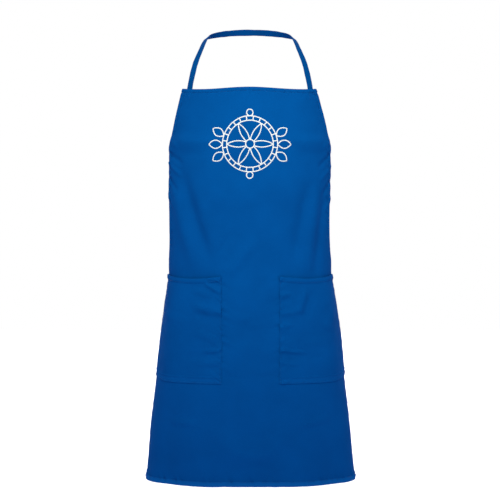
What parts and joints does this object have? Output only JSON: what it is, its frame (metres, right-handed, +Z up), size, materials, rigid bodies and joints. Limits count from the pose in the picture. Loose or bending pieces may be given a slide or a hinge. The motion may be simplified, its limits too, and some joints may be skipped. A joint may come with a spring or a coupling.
{
  "type": "bib apron",
  "caption": "Full-length bib apron of woven cloth in its worn form: a hemmed panel, a patch pocket at each side, a neck strap, waist ties in a bow and a printed line rosette.",
  "frame": {"origin": "mount neck_rest: the middle of the neck strap's inner face, where it rests on the nape", "axes": "+Z up along the apron's length, the front facing -Y, +X to the right as seen from the front"},
  "size_m": [0.4028, 0.2298, 0.8652],
  "materials": {
    "twill": "matt cotton and polyester twill",
    "tape": "matt woven tape",
    "print": "smooth screen-printed ink"
  },
  "bodies": {
    "root": {"apron_panel": "twill", "pocket_left": "twill", "pocket_right": "twill", "neck_strap": "tape", "waist_tie_left": "tape", "waist_tie_right": "tape", "bow_knot": "tape", "bow_loop_left": "tape", "bow_loop_right": "tape", "tie_end_left": "tape", "tie_end_right": "tape", "chest_print": "print"}
  },
  "joints": []
}
